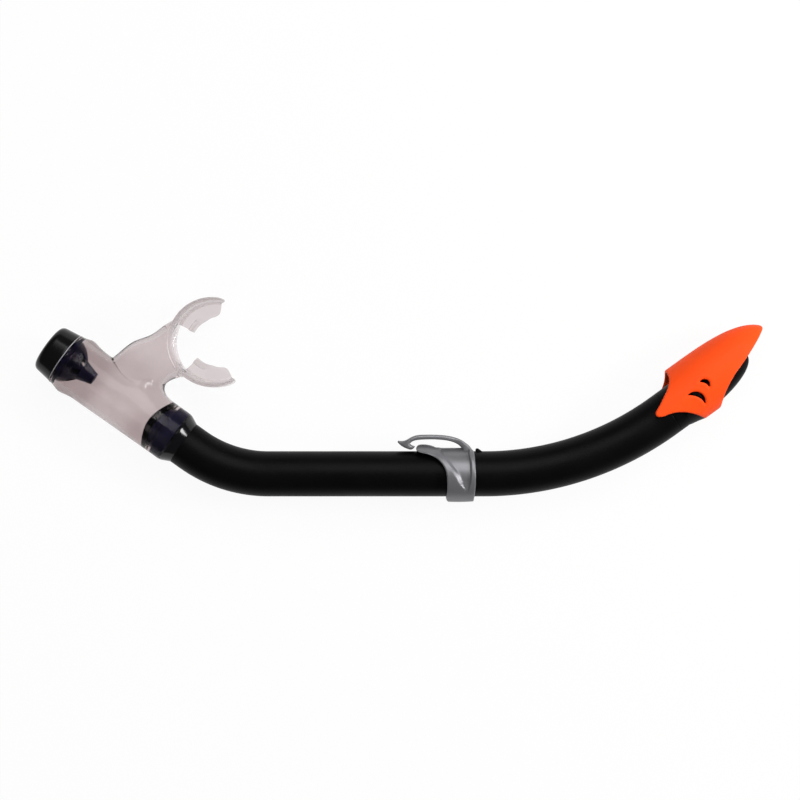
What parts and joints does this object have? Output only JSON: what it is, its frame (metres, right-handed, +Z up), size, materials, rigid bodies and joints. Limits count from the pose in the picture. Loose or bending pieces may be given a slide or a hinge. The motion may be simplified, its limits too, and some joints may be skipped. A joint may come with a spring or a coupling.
{
  "type": "snorkel",
  "caption": "Bent black snorkel with a clear silicone mouthpiece, black purge cap, grey strap clip and an orange splash hood, lying on its side.",
  "frame": {"origin": "under the middle of the whole snorkel, on the surface it lies on", "axes": "+X along the straight of the tube towards the splash hood, +Y towards the mouthpiece's side, +Z up from the surface"},
  "size_m": [0.4144, 0.117, 0.0358],
  "materials": {
    "tube_black": "satin black PVC",
    "fitting_black": "satin black moulded plastic",
    "silicone_clear": "clear silicone, slightly milky",
    "valve_dark": "dark moulded plastic",
    "flap_silicone": "soft silicone",
    "cap_black": "gloss black moulded plastic",
    "clip_grey": "silver-grey moulded plastic",
    "cowl_black": "black moulded plastic",
    "hood_orange": "bright orange moulded plastic"
  },
  "bodies": {
    "tube_body": {"tube": "tube_black", "lower_connector": "fitting_black", "top_cowl": "cowl_black", "splash_hood": "hood_orange"},
    "mouthpiece_body": {"mouthpiece": "silicone_clear", "purge_body": "valve_dark", "purge_cap": "cap_black"},
    "flap_body": {"purge_flap": "flap_silicone"},
    "clip_body": {"clip_collar": "clip_grey"},
    "gate_body": {"clip_gate": "clip_grey"}
  },
  "joints": [
    {"name": "mouthpiece_swivel", "type": "hinge", "parent": "tube_body", "child": "mouthpiece_body", "pos_m": [-0.1171, -0.02868, 0.0179], "axis": [-0.8141, 0.5807, 0], "continuous": true},
    {"name": "flap_lift", "type": "slide", "parent": "mouthpiece_body", "child": "flap_body", "axis": [-0.8141, 0.5807, 0], "range_m": [0, 0.0012], "stiffness_N_per_m": 40},
    {"name": "clip_swivel", "type": "hinge", "parent": "tube_body", "child": "clip_body", "pos_m": [0.03567, -0.04243, 0.0179], "axis": [1, 0, 0], "continuous": true},
    {"name": "gate_flex", "type": "hinge", "parent": "clip_body", "child": "gate_body", "pos_m": [0.03787, -0.02623, 0.0179], "axis": [0, 0, -1], "range_deg": [0, 15], "stiffness_Nm_per_rad": 0.3}
  ]
}
